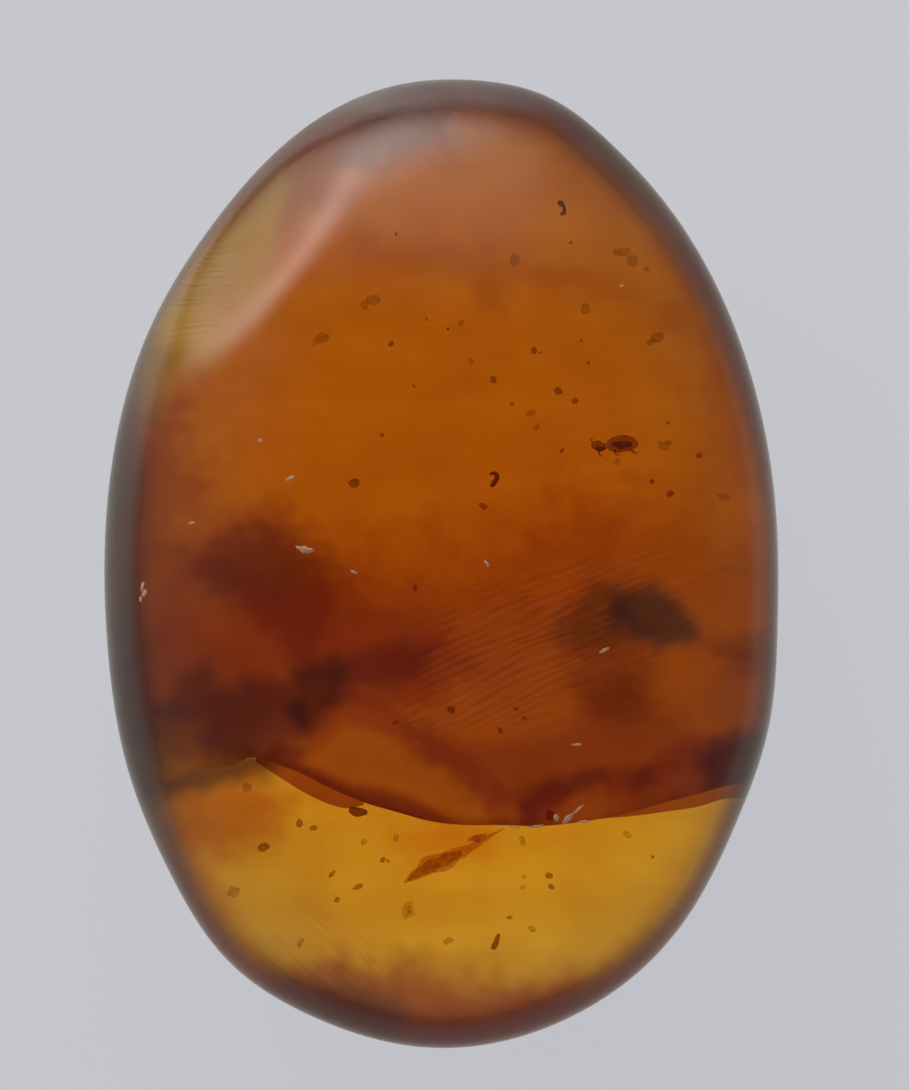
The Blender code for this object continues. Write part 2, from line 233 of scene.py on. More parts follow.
# Without a seed, this noise would start from the clock and differ from run to run.
RAGGED_SEED = 4
FADED = (0.24, 0.12, 0.6)
OLIVE = (0.62, 0.55, 0.60)
UPPER_STAINS = {
    "lower_reds": (
        1.2, (0.75, 0.59, 1.0),
        ((-6.4, -0.4), (-2.9, 0.0), (0.0, 0.2), (3.3, 0.8), (6.9, 0.4), (6.9, -4.9),
         (3.3, -5.7), (0.0, -5.7), (-4.0, -4.5), (-6.8, -4.7)),
    ),
    "right_shade": (
        1.0, (0.80, 0.70, 1.0),
        ((5.1, 5.4), (7.2, 3.0), (7.2, -2.8), (6.3, -4.7), (5.8, -2.4), (6.6, -0.9),
         (5.8, 0.6), (5.4, 1.8)),
    ),
    "right_reds": (
        0.6, (0.84, 0.72, 1.0),
        ((2.5, 1.7), (5.4, 1.3), (6.2, -0.3), (5.4, 0.1), (3.7, -0.2), (2.0, 0.1)),
    ),
    "left_reds": (
        0.8, (0.66, 0.50, 1.0),
        ((-7.2, 3.4), (-5.3, 3.4), (-4.7, 1.9), (-5.0, 0.5), (-4.7, -0.8), (-3.1, -2.4),
         (-4.2, -4.1), (-7.2, -4.3)),
    ),
    "top_rim": (
        0.5, (0.72, 0.70, 0.95),
        ((-3.6, 7.8), (-2.3, 9.3), (-1.0, 9.8), (0.6, 9.9), (2.6, 9.6), (3.6, 8.6),
         (3.1, 8.2), (2.0, 8.9), (0.6, 9.1), (-0.4, 8.4), (-1.6, 8.0), (-2.4, 7.4),
         (-3.2, 7.0)),
    ),
    "top_smear": (
        0.3, (0.60, 0.62, 1.0),
        ((-2.2, 8.3), (-1.6, 9.1), (-0.8, 9.6), (0.1, 9.6), (0.0, 8.8), (-0.8, 8.4), (-1.5, 8.0)),
    ),
    "upper_band": (
        0.4, (0.85, 0.78, 1.0),
        ((-1.7, 6.9), (1.6, 6.4), (4.9, 5.4), (4.9, 5.0), (1.6, 5.8), (-1.6, 6.4)),
    ),
    "upper_smear": (
        0.25, (0.82, 0.74, 1.0),
        ((0.6, 5.8), (1.0, 5.9), (1.4, 5.6), (1.2, 5.1), (0.8, 5.2)),
    ),
    "dark_red": (
        0.5, (0.49, 0.31, 1.15),
        ((-5.3, 0.3), (-4.8, 0.8), (-4.1, 1.1), (-3.2, 1.0), (-2.6, 0.6), (-2.3, 0.0),
         (-2.1, -0.8), (-2.0, -1.6), (-2.3, -2.2), (-3.1, -2.2), (-3.7, -1.6), (-4.2, -1.1),
         (-4.8, -0.7), (-5.3, -0.3)),
    ),
    "dark_upper": (
        0.28, (0.80, 0.85, 1.3),
        ((-4.9, 0.1), (-4.2, 0.6), (-3.2, 0.6), (-2.9, 0.0), (-2.9, -0.8), (-3.7, -0.9),
         (-4.7, -0.7)),
    ),
    "red_heart": (
        0.35, (1.05, 0.82, 1.1),
        ((-3.8, -0.8), (-2.3, -0.5), (-2.0, -1.6), (-2.4, -2.0), (-3.1, -2.0), (-3.7, -1.6)),
    ),
    "red_side": (
        0.6, (0.88, 0.76, 1.1),
        ((-2.5, 0.1), (-0.9, -0.5), (0.2, -1.0), (0.6, -2.0), (-0.2, -2.9), (-1.9, -2.9),
         (-2.5, -1.6)),
    ),
    "scratched": (
        0.35, (0.82, 0.66, 1.1),
        ((-1.9, -0.8), (0.0, -1.2), (0.8, -2.0), (0.2, -2.8), (-1.3, -3.0), (-2.0, -2.6)),
    ),
    "purple": (
        0.20, (0.34, 0.30, 1.4),
        ((-3.08, -2.16), (-2.09, -1.89), (-1.84, -2.16), (-1.88, -2.72), (-2.13, -3.07),
         (-2.92, -3.40), (-3.33, -3.07), (-3.00, -2.66)),
    ),
    "purple_tail": (
        0.25, (0.60, 0.48, 1.3),
        ((-2.1, -1.9), (-0.8, -1.6), (0.0, -1.6), (-0.3, -2.1), (-1.3, -2.6), (-1.9, -2.8)),
    ),
    "maroon": (
        0.28, (0.48, 0.40, 1.35),
        ((-4.9, -2.7), (-4.2, -2.4), (-3.0, -2.4), (-2.6, -3.3), (-2.9, -3.7), (-3.4, -4.1),
         (-4.2, -4.1), (-4.9, -3.8)),
    ),
    "brown": (
        0.25, (0.54, 0.54, 1.2),
        ((-5.8, -2.7), (-5.4, -2.2), (-4.8, -2.1), (-4.7, -2.8), (-5.0, -3.2), (-5.6, -3.3),
         (-6.0, -3.1)),
    ),
    "olive": (
        0.30, (0.74, 0.98, 1.4),
        ((-6.4, -3.1), (-5.7, -2.9), (-4.7, -3.1), (-4.2, -3.8), (-3.8, -4.0), (-4.7, -4.4),
         (-5.5, -4.6), (-6.2, -4.5)),
    ),
    "fold_light": (
        0.12, (1.0, 0.88, 1.0),
        ((-4.67, -0.96), (-4.05, -1.42), (-3.23, -2.20), (-3.29, -2.62), (-3.95, -2.62),
         (-4.47, -1.89), (-4.88, -1.38)),
    ),
    "blue": (
        0.25, (0.29, 0.36, 1.9),
        ((3.5, -0.5), (4.3, -0.4), (4.9, -0.75), (5.35, -1.3), (5.35, -1.7), (4.5, -1.9),
         (3.9, -1.6), (3.4, -1.1)),
    ),
    "blue_tail": (
        0.38, (0.48, 0.53, 1.9),
        ((2.3, -1.6), (2.6, -0.7), (3.1, -0.2), (3.7, -0.2), (3.8, -1.0), (3.9, -1.6),
         (3.2, -1.9), (2.5, -1.9)),
    ),
    "brown_right": (
        0.45, (0.66, 0.58, 1.0),
        ((2.6, -2.0), (3.5, -1.5), (4.3, -1.6), (4.5, -2.4), (4.1, -3.2), (3.2, -3.1),
         (2.6, -2.6)),
    ),
    "edge_right": (
        0.30, (0.62, 0.58, 1.0),
        ((5.8, -1.6), (6.9, -1.4), (7.0, -2.2), (6.1, -2.2), (5.7, -1.9)),
    ),
    "band_right": (
        0.25, (0.74, 0.54, 1.1),
        ((3.3, -4.3), (4.3, -4.1), (5.2, -3.6), (5.8, -3.5), (6.2, -3.9), (5.6, -4.7),
         (4.3, -5.0), (3.3, -5.2), (2.5, -5.4), (1.5, -5.4), (1.5, -4.9), (2.2, -4.5),
         (2.8, -4.4)),
    ),
    "spot_left": (
        0.12, (0.70, 0.68, 1.0),
        ((2.71, -4.37), (3.37, -4.23), (3.41, -4.56), (2.87, -4.73)),
    ),
    "spot_right": (
        0.14, (0.72, 0.70, 1.0),
        ((3.81, -4.31), (4.32, -4.17), (4.43, -4.58), (3.91, -4.73)),
    ),
    "purple_right": (
        0.22, (0.34, 0.31, 1.1),
        ((5.4, -3.8), (6.1, -3.5), (6.9, -3.3), (6.6, -4.4), (5.8, -4.6), (5.3, -4.5)),
    ),
    "red_lower": (
        0.20, (0.66, 0.46, 1.2),
        ((1.55, -4.89), (2.15, -4.52), (2.83, -4.56), (2.71, -4.89), (2.30, -5.39),
         (1.63, -5.43)),
    ),
    "middle_reds": (
        0.8, (0.97, 0.85, 1.0),
        ((-2.5, 0.9), (0.0, 1.3), (3.2, 1.4), (3.2, -0.6), (0.2, -0.7), (-2.0, -0.3)),
    ),
    "middle_shade": (
        0.6, (0.90, 0.84, 1.0),
        ((0.3, -0.2), (1.6, 0.0), (2.4, -0.8), (2.6, -2.6), (1.2, -3.0), (0.6, -2.0)),
    ),
    "low_band": (
        0.35, (0.74, 0.60, 1.05),
        ((-0.8, -3.5), (0.0, -3.5), (1.2, -3.8), (2.4, -3.5), (3.0, -2.6), (3.7, -2.4),
         (4.5, -2.9), (5.4, -3.6), (5.4, -4.1), (4.5, -4.6), (3.3, -4.6), (1.3, -5.2),
         (0.8, -4.8), (0.2, -4.4), (-0.3, -4.1)),
    ),
    "above_wedge": (
        0.16, (0.82, 0.66, 1.1),
        ((-2.9, -3.5), (-2.5, -2.8), (-1.9, -2.6), (-1.2, -2.9), (-0.2, -3.6), (0.8, -4.2),
         (1.4, -4.8), (1.3, -5.5), (1.0, -5.4), (0.77, -4.79), (0.23, -4.37), (-0.23, -4.11),
         (-0.85, -3.82), (-1.43, -3.44), (-1.99, -3.34), (-2.40, -3.65), (-2.75, -3.98)),
    ),
    "wedge": (
        0.08, (1.02, 1.12, 1.0),
        ((-2.50, -3.98), (-2.25, -3.65), (-1.92, -3.36), (-1.43, -3.44), (-0.85, -3.82),
         (-0.23, -4.11), (0.23, -4.37), (0.77, -4.79), (1.01, -5.26), (0.60, -5.39),
         (-0.02, -5.02), (-0.54, -4.79), (-1.16, -4.64), (-1.88, -4.48), (-2.40, -4.23),
         (-2.50, -4.10)),
    ),
    "edge_shade": (
        0.13, (0.58, 0.38, 1.0),
        ((-2.85, -4.17), (-1.88, -4.54), (-1.16, -4.73), (-0.54, -4.89), (-0.02, -5.14),
         (0.30, -5.44), (-0.85, -5.35), (-1.68, -5.06), (-2.50, -4.79), (-3.12, -4.48),
         (-3.80, -4.10), (-3.50, -3.80), (-2.80, -3.85)),
    ),
    "beside_facet": (
        0.4, OLIVE,
        ((-3.20, 8.10), (-3.10, 7.70), (-3.54, 6.57), (-3.83, 5.57), (-4.20, 4.90),
         (-4.90, 4.10), (-5.60, 3.60), (-6.10, 3.10), (-7.00, 2.90), (-7.20, 4.50),
         (-5.60, 7.60)),
    ),
    "left_edge_fade": (
        0.22, FADED,
        ((-7.2, -4.55), (-6.02, -4.62), (-5.5, -4.52), (-4.98, -4.31), (-4.26, -4.17),
         (-4.0, -4.07), (-4.1, -4.6), (-7.2, -5.2)),
    ),
    "facet_edge": (
        0.2, (0.66, 0.62, 1.0),
        ((-5.9, 4.7), (-5.5, 4.2), (-5.7, 3.6), (-5.9, 2.9), (-6.6, 2.9), (-6.5, 3.9)),
    ),
}
LOWER_STAINS = {
    "left_shade": (
        0.24, (0.30, 0.24, 0.8),
        ((-6.8, -4.2), (-5.2, -4.1), (-4.3, -3.9), (-3.9, -3.9), (-3.3, -4.1), (-3.7, -4.38),
         (-4.2, -4.50), (-5.0, -4.74), (-5.7, -4.92), (-6.8, -5.02)),
    ),
    "bottom_brown": (
        0.5, (0.60, 0.38, 0.68),
        ((-3.7, -8.6), (-2.1, -8.15), (-0.4, -8.25), (1.6, -8.55), (3.3, -8.5), (4.3, -7.9),
         (3.7, -9.6), (0.8, -10.5), (-1.7, -10.3), (-3.3, -9.4)),
    ),
    "bottom_dark": (
        0.4, (0.58, 0.54, 0.9),
        ((-3.3, -8.8), (-2.1, -8.6), (-1.0, -8.9), (-0.6, -9.4), (-1.1, -9.8), (-2.3, -9.5)),
    ),
    "bottom_red": (
        0.5, (1.0, 0.80, 0.9),
        ((-0.8, -8.7), (1.2, -8.9), (3.3, -8.5), (3.1, -9.5), (1.2, -10.1), (-0.4, -9.9)),
    ),
    "orange_left": (
        0.5, (0.77, 0.49, 0.6),
        ((-5.6, -4.7), (-4.2, -4.2), (-3.1, -4.7), (-3.3, -5.5), (-4.5, -5.9), (-5.3, -5.7)),
    ),
    "left_yellow": (
        0.8, (0.90, 0.86, 1.0),
        ((-5.5, -5.0), (-2.2, -5.2), (-2.2, -7.5), (-3.5, -8.6), (-5.2, -7.2)),
    ),
    "orange_side": (
        0.5, (0.90, 0.68, 0.8),
        ((-5.9, -4.9), (-5.1, -4.9), (-4.7, -6.1), (-4.5, -7.6), (-5.1, -7.6), (-5.7, -6.3)),
    ),
    "leaf_haze": (
        0.35, (0.92, 0.66, 0.5),
        ((-1.0, -5.5), (0.0, -5.3), (1.0, -5.4), (0.9, -5.8), (0.0, -6.1), (-0.8, -5.9)),
    ),
}

# Scratched places of the crown: middle, half sizes, turn, softness, strength and the scratches'
# spacing. The scratches run along the turn.
SCRATCHED_PLACES = (
    ((1.8, -1.6), (2.8, 1.3), 24, 0.6, 0.8, 0.16),
    ((-2.1, -7.8), (1.2, 0.9), -45, 0.6, 0.3, 0.14),
    ((-4.6, 5.3), (0.8, 1.1), 0, 0.5, 0.6, 0.12),
    ((-0.5, 9.0), (1.3, 0.7), -35, 0.6, 0.6, 0.13),
)
# Their length, how far and how often they bend, how often they break off, and the values of the
# noise between which they fade in.
SCRATCH_LENGTH = 0.65
SCRATCH_BEND = 2.0
SCRATCH_BEND_SCALE = 0.35
SCRATCH_BREAK_SCALE = 0.9
SCRATCH_SHOWS = (0.36, 0.62)
# The part of a wave that is a line, and the part that is a gap: where it starts, and its crest.
LINE_PART = (0.3, 1.0)
GAP_PART = (0.0, -1.0)

# Chips in the polish: where they are seen, length, width and turn. They are pale, as broken amber
# is.
# Their glow is painted light, for the window's light that they catch and for the glints of cracks
# by the flow edge.
CHIP_THICKNESS = 0.02
CHIP_LUMP_SCALE = 4.5
CHIP_MOTTLE_SCALE = 14.0
CHIP_BROWN = (0.55, 0.28, 0.15)
CHIP_PALE = (0.95, 0.60, 0.40)
CHIP_PAINTED_GLOW_COLOUR = (1.0, 0.50, 0.30)
CHIP_PAINTED_GLOW = 0.16
CHIPS = (
    ((-2.80, 0.28), 0.24, 0.12, -15),
    ((-2.95, 0.32), 0.10, 0.05, -35),
    ((-3.12, 1.75), 0.16, 0.07, 20),
    ((-3.74, 2.53), 0.09, 0.08, 0),
    ((-6.17, -0.48), 0.17, 0.07, 75),
    ((-6.13, -0.62), 0.16, 0.09, 50),
    ((-6.21, -0.74), 0.10, 0.06, 100),
    ((0.95, -0.01), 0.13, 0.05, -55),
    ((-1.80, -0.18), 0.12, 0.05, -30),
    ((3.74, 5.74), 0.08, 0.05, 0),
    ((2.81, -3.75), 0.17, 0.05, 0),
    ((3.39, -1.79), 0.20, 0.06, 25),
    ((-5.15, 0.84), 0.14, 0.05, 5),
    ((2.38, -5.26), 0.09, 0.13, 10),
    ((2.62, -5.28), 0.22, 0.11, 42),
    ((2.80, -5.12), 0.36, 0.05, 40),
    ((2.95, -5.34), 0.24, 0.04, 5),
    ((1.95, -5.44), 0.26, 0.04, 10),
    ((1.50, -5.45), 0.20, 0.03, -10),
)

# The remains lie in the flow layer. Each is made of strands: how flat a strand is, how lumpy, and
# its line of points (seen x, seen y, radius).
STRAND_SIDES = 14
STEPS_PER_KNOT = 6
STRAND_LUMP_SCALE = 4
THINNEST = 0.004
REMAINS = {
    # The front and the hind lobe, a darker core in each, an antenna and three legs.
    "insect": (
        (0.8, 0.7, (
            (3.12, 2.47, 0.03), (3.20, 2.44, 0.09), (3.30, 2.41, 0.10), (3.41, 2.43, 0.05),
        )),
        (0.8, 0.7, (
            (3.42, 2.46, 0.05), (3.52, 2.46, 0.11), (3.68, 2.45, 0.125), (3.84, 2.45, 0.12),
            (3.98, 2.46, 0.10), (4.08, 2.46, 0.04),
        )),
        (0.8, 0.5, ((3.20, 2.37, 0.03), (3.30, 2.36, 0.045), (3.42, 2.39, 0.02))),
        (0.8, 0.9, ((3.54, 2.47, 0.04), (3.74, 2.44, 0.08), (3.96, 2.47, 0.04))),
        (1.0, 0.2, ((3.14, 2.50, 0.015), (3.10, 2.57, 0.015), (3.15, 2.60, 0.01))),
        (1.0, 0.2, ((3.28, 2.34, 0.02), (3.27, 2.26, 0.015), (3.35, 2.21, 0.01))),
        (1.0, 0.2, ((3.60, 2.36, 0.02), (3.62, 2.26, 0.015), (3.71, 2.23, 0.01))),
        (1.0, 0.2, ((3.92, 2.37, 0.02), (3.99, 2.29, 0.015), (4.08, 2.29, 0.01))),
    ),
    # The blade and its darker middle, and the blot at its tip with its own middle.
    "leaf_fragment": (
        (0.25, 0.7, (
            (-0.76, -6.60, 0.02), (-0.56, -6.47, 0.10), (-0.25, -6.28, 0.16), (0.12, -6.10, 0.15),
            (0.45, -5.96, 0.10), (0.75, -5.80, 0.05), (1.05, -5.62, 0.03), (1.32, -5.47, 0.01),
        )),
        (0.2, 0.9, (
            (-0.68, -6.55, 0.01), (-0.50, -6.43, 0.06), (-0.22, -6.26, 0.11), (0.12, -6.10, 0.10),
            (0.42, -5.97, 0.04),
        )),
        (0.5, 0.9, (
            (0.54, -5.73, 0.02), (0.66, -5.69, 0.07), (0.80, -5.66, 0.08), (0.94, -5.60, 0.03),
        )),
        (0.5, 0.9, ((0.62, -5.70, 0.02), (0.74, -5.67, 0.05), (0.86, -5.63, 0.02))),
    ),
    "dark_grain": (
        (0.8, 0.7, (
            (1.00, 1.84, 0.03), (1.10, 1.86, 0.06), (1.15, 1.78, 0.07), (1.10, 1.67, 0.08),
            (1.04, 1.58, 0.04),
        )),
    ),
    "short_twig": (
        (0.8, 0.7, (
            (-1.90, -5.09, 0.04), (-1.78, -5.12, 0.08), (-1.66, -5.13, 0.08), (-1.52, -5.16, 0.04),
        )),
    ),
    "tapered_twig": (
        (0.8, 0.4, (
            (1.20, -7.66, 0.025), (1.16, -7.76, 0.05), (1.11, -7.89, 0.07), (1.07, -7.98, 0.04),
        )),
    ),
    "curled_fleck": (
        (0.7, 0.9, (
            (2.42, 7.49, 0.02), (2.49, 7.44, 0.05), (2.55, 7.36, 0.035), (2.55, 7.26, 0.055),
            (2.47, 7.21, 0.025),
        )),
    ),
    # The crumb and its darker middle.
    "leaf_crumb": (
        (0.3, 0.9, (
            (-0.58, -7.00, 0.03), (-0.66, -7.12, 0.11), (-0.72, -7.24, 0.11), (-0.74, -7.36, 0.03),
        )),
        (0.3, 0.9, ((-0.62, -7.08, 0.02), (-0.69, -7.18, 0.06), (-0.72, -7.30, 0.02))),
    ),
    "bark_speck": (
        (0.5, 0.9, (
            (-2.64, 4.52, 0.03), (-2.54, 4.58, 0.08), (-2.42, 4.66, 0.09), (-2.30, 4.70, 0.03),
        )),
    ),
    "husk_speck": (
        (0.6, 0.8, (
            (-3.78, -5.92, 0.03), (-3.71, -5.89, 0.08), (-3.63, -5.86, 0.07), (-3.55, -5.84, 0.03),
        )),
    ),
}

# Tissues of single remains, of the other remains (dark) and of the grains (brown and olive).
# Light gets their colour by passing through. Mottling darkens it, between these values of the
# noise and down to this share.
TISSUE_MOTTLE_SCALE = 9.0
TISSUE_NOISE = (0.35, 0.65)
TISSUE_DARKEST = 0.75
TISSUES = {
    "insect": ("dark_chitin", (0.54, 0.38, 0.9)),
    "leaf_fragment": ("leaf_brown", (0.81, 0.56, 0.38)),
    "leaf_crumb": ("leaf_crumb_brown", (0.93, 0.83, 0.55)),
    "bark_speck": ("bark_brown", (0.80, 0.72, 0.60)),
    "husk_speck": ("husk_brown", (0.58, 0.42, 0.22)),
    "tapered_twig": ("twig_brown", (0.42, 0.28, 0.14)),
    "dark": ("dark_bark", (0.30, 0.16, 0.13)),
    "brown": ("grain_brown", (0.60, 0.44, 0.38)),
    "olive": ("grain_olive", (0.81, 0.75, 0.60)),
}
# The solid model's materials of the remains. The other remains have "plant_debris".
SLOTS = {
    "insect": "insect",
    "curled_fleck": "dark_debris",
    "dark_grain": "dark_debris",
    "short_twig": "dark_debris",
    "tapered_twig": "dark_debris",
}

# Grains: seen x, seen y and size. Each is a lump of this share of its size, stretched along x, y
# and z by chance.
GRAIN_DEPTHS = (1.3, 3.9)
GRAIN_RADIUS = 0.44
GRAIN_STRETCH = ((0.8, 1.3), (0.6, 1.0), (0.5, 0.8))
GRAIN_LUMPS = 0.55
GRAIN_LUMP_SCALE = 2.4
BROWN_GRAINS = (
    (2.68, 6.63, 0.07), (-0.93, 6.81, 0.08), (-1.03, 4.54, 0.16), (1.92, 4.40, 0.14),
    (2.05, 4.36, 0.08), (1.08, 3.80, 0.16), (2.42, 3.57, 0.22), (2.77, 3.36, 0.14),
    (1.47, 3.30, 0.09), (-0.56, 3.67, 0.09), (-1.22, 2.66, 0.10), (-1.80, 1.66, 0.20),
    (0.87, 1.19, 0.17), (5.34, 2.24, 0.13), (4.36, 1.69, 0.11), (4.74, 1.44, 0.18),
    (2.50, 2.33, 0.10), (-0.54, -0.51, 0.12), (0.21, -3.03, 0.18), (1.55, -3.01, 0.09),
    (1.72, -3.20, 0.12), (1.22, -3.46, 0.14), (-0.95, -3.30, 0.12), (2.25, -5.22, 0.20),
    (-2.92, -5.37, 0.15), (-2.63, -5.47, 0.15), (-1.20, -6.13, 0.16), (-1.10, -6.15, 0.10),
    (-2.25, -6.42, 0.16), (-1.72, -6.69, 0.18), (-2.15, -6.96, 0.15), (2.23, -6.46, 0.18),
    (2.28, -6.69, 0.14), (4.38, -6.07, 0.09), (1.42, -7.32, 0.10), (4.70, 2.90, 0.08),
    (3.05, 4.15, 0.08), (2.90, 4.60, 0.07), (-0.30, 5.05, 0.08), (0.15, 4.85, 0.08),
)
OLIVE_GRAINS = (
    (-1.40, 5.44, 0.26), (-1.58, 5.36, 0.20), (0.41, 4.97, 0.17), (2.98, 5.26, 0.22),
    (3.74, 6.44, 0.30), (3.95, 6.25, 0.26), (4.24, 6.09, 0.16), (4.47, 4.68, 0.24),
    (4.35, 4.58, 0.16), (0.62, 4.19, 0.16), (4.61, 2.43, 0.22), (4.70, 2.50, 0.12),
    (5.85, 1.38, 0.16), (3.64, 2.10, 0.14), (-4.01, -4.64, 0.22), (-1.59, -5.76, 0.18),
    (-0.93, -5.68, 0.16), (-2.90, -7.85, 0.16), (1.71, -6.48, 0.10), (1.69, -6.70, 0.10),
    (1.88, -7.56, 0.20), (1.68, -5.74, 0.20), (0.14, -7.81, 0.20), (-4.30, -6.80, 0.20),
    (1.53, 6.28, 0.22), (1.86, 3.11, 0.20), (1.98, 2.82, 0.20), (3.85, -5.60, 0.20),
)

# The stone's mesh: columns round its axis, and rows from the flat spot to the crown's top.
STONE_SEGMENTS = 360
STONE_RINGS = 180


# The stone's shape

def bumps(angle, rows):
    """The sum of smooth bumps round the stone, each at its direction, at an angle in radians."""
    total = 0.0
    for towards, spread, height in rows:
        apart = (math.degrees(angle) - towards + 180) % 360 - 180
        total += height * math.exp(-((apart / spread) ** 2))
    return total


def outline_radius(angle):
    """Distance from the stone's axis to its girdle, in the direction angle (radians)."""
    across = HALF_LENGTH * math.cos(angle)
    along = HALF_WIDTH * math.sin(angle)
    return HALF_LENGTH * HALF_WIDTH / math.hypot(across, along) + bumps(angle, SWELLS)


def fullness(angle, rising):
    """How square the vertical section is in a direction, above or below the girdle."""
    if rising:
        return CROWN_FULLNESS + bumps(angle, CROWN_SIDES)
    return BASE_FULLNESS + bumps(angle, BASE_SIDES)


def crown_height(x, y):
    """Height of the crown above the flat spot, before the facet is ground."""
    angle = math.atan2(y, x)
    power = fullness(angle, True)
    share = min(1.0, math.hypot(x, y) / outline_radius(angle))
    return GIRDLE_Z + CROWN_RISE * (1 - share**power) ** (1 / power)


def facet_plane():
    """A point on the ground facet's inner edge, and the facet's outward direction."""
    towards = math.radians(FACET_TOWARDS)
    tilt = math.radians(FACET_TILT)
    across = Vector((math.cos(towards), math.sin(towards), 0))
    normal = across * math.sin(tilt) + Vector((0, 0, math.cos(tilt)))
    edge = across * FACET_INNER_EDGE
    edge.z = crown_height(edge.x, edge.y)
    return edge, normal


FACET_EDGE, FACET_NORMAL = facet_plane()


def ground_by_facet(point):
    """Pulls a point that stands proud of the facet back to its plane, with a soft edge."""
    proud = (point - FACET_EDGE).dot(FACET_NORMAL)
    if proud < -10 * FACET_ROUNDING:
        return point
    kept = -FACET_ROUNDING * math.log(1 + math.exp(-proud / FACET_ROUNDING))
    return point + FACET_NORMAL * (kept - proud)


def stone_point(direction):
    """The point of the stone's surface that a point of the unit sphere goes to."""
    angle = math.atan2(direction.y, direction.x)
    flat = math.hypot(direction.x, direction.y)
    rising = direction.z > 0
    power = fullness(angle, rising)
    reach = (flat**power + abs(direction.z) ** power) ** (-1 / power)
    radius = outline_radius(angle) * flat * reach
    drop = CROWN_RISE if rising else BASE_DROP
    point = Vector((radius * math.cos(angle), radius * math.sin(angle), 0))
    point.z = GIRDLE_Z + drop * direction.z * reach
    point = ground_by_facet(point)
    point.z = max(point.z, 0.0)
    return point


# Seeing into the stone

def ground_height(x, y):
    """Height of the finished crown: the lower one of the dome and the facet."""
    dome = crown_height(x, y)
    from_edge = Vector((x, y)) - FACET_EDGE.xy
    plane = FACET_EDGE.z - from_edge.dot(FACET_NORMAL.xy) / FACET_NORMAL.z
    return min(dome, plane)


def crown_normal(x, y):
    """Which way the crown faces at a place, from its height close by."""
    step = 0.02
    slope_x = (ground_height(x + step, y) - ground_height(x - step, y)) / (2 * step)
    slope_y = (ground_height(x, y + step) - ground_height(x, y - step)) / (2 * step)
    return Vector((-slope_x, -slope_y, 1)).normalized()


def on_crown(seen_x, seen_y):
    """The line of sight to a place of the girdle plane, and where it meets the crown.

    Each round comes closer to that point.
    """
    camera = Vector((*CAMERA_OFFSET, CAMERA_Z))
    ray = (Vector((seen_x, seen_y, GIRDLE_Z)) - camera).normalized()
    entry = Vector((seen_x, seen_y, GIRDLE_Z))
    for _ in range(SIGHT_ROUNDS):
        height = ground_height(entry.x, entry.y)
        entry = camera + ray * ((height - camera.z) / ray.z)
    return ray, entry


def lies_at(seen_x, seen_y, depth_z):
    """Where a thing at height depth_z lies, if the camera sees it at a place of the girdle plane.

    The line of sight goes from the camera down to the crown, is bent there, and runs on.
    """
    ray, entry = on_crown(seen_x, seen_y)
    normal = crown_normal(entry.x, entry.y)
    ratio = 1 / AMBER_IOR
    facing = -normal.dot(ray)
    inner = ratio * ray + (ratio * facing - math.sqrt(1 - ratio**2 * (1 - facing**2))) * normal
    return entry + inner * ((depth_z - entry.z) / inner.z)


# Meshes

def link_mesh(name, shape, material):
    """A shape in millimetres becomes a smooth piece in metres, with one material."""
    bmesh.ops.scale(shape, vec=Vector((MM, MM, MM)), verts=shape.verts)
    mesh = bpy.data.meshes.new(name)
    shape.to_mesh(mesh)
    shape.free()
    mesh.shade_smooth()
    mesh.materials.append(material)
    made = bpy.data.objects.new(name, mesh)
    bpy.context.scene.collection.objects.link(made)
    return made


def on_body(piece, slot, *replaced):
    """Fixes a piece to the stone's body, and hides the solids whose place it takes. The slot is
    not used.
    """
    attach(piece, "root")
    if replaced:
        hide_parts(*replaced)


# Materials

def put(tree, kind, inputs=None, **settings):
    """Adds a node with its settings. An input is a plain value or another node's output."""
    made = tree.nodes.new(kind)
    for name, value in settings.items():
        setattr(made, name, value)
    for socket, value in (inputs or {}).items():
        if isinstance(value, bpy.types.NodeSocket):
            tree.links.new(value, made.inputs[socket])
        else:
            made.inputs[socket].default_value = value
    return made


def set_sockets(shader, values):
    for socket, value in values.items():
        shader.inputs[socket].default_value = value


def maths(tree, operation, *values, clamp=False):
    """The result of a sum on plain values or on other nodes' outputs."""
    made = put(
        tree, "ShaderNodeMath", dict(enumerate(values)), operation=operation, use_clamp=clamp
    )
    return made.outputs["Value"]


def vector_maths(tree, operation, inputs, result="Vector"):
    return put(tree, "ShaderNodeVectorMath", inputs, operation=operation).outputs[result]


def ramp(tree, value, start, stop, low=0.0, high=1.0, smooth=True):
    """Goes from low to high while a value goes from start to stop, and stays level outside."""
    made = put(
        tree,
        "ShaderNodeMapRange",
        {"Value": value, "From Min": start, "From Max": stop, "To Min": low, "To Max": high},
        interpolation_type="SMOOTHSTEP" if smooth else "LINEAR",
    )
    return made.outputs["Result"]


def mottling(tree, place, scale, detail):
    """Soft noise between 0 and 1."""
    made = put(tree, "ShaderNodeTexNoise", {"Vector": place, "Scale": scale, "Detail": detail})
    return made.outputs["Fac"]


def between(tree, share, first, second):
    """A colour that goes from the first to the second one as the share rises."""
    made = put(
        tree,
        "ShaderNodeMix",
        {"Factor": share, "A": (*first, 1), "B": (*second, 1)},
        data_type="RGBA",
    )
    return made.outputs["Result"]


def new_material(name):
    material = bpy.data.materials.new(name)
    material.use_nodes = True
    tree = material.node_tree
    return material, tree, tree.nodes["Principled BSDF"], tree.nodes["Material Output"]


def place_in_mm(tree):
    """The point of the surface in the stone's own millimetres."""
    place = put(tree, "ShaderNodeTexCoord").outputs["Object"]
    return vector_maths(tree, "SCALE", {0: place, "Scale": 1 / MM})


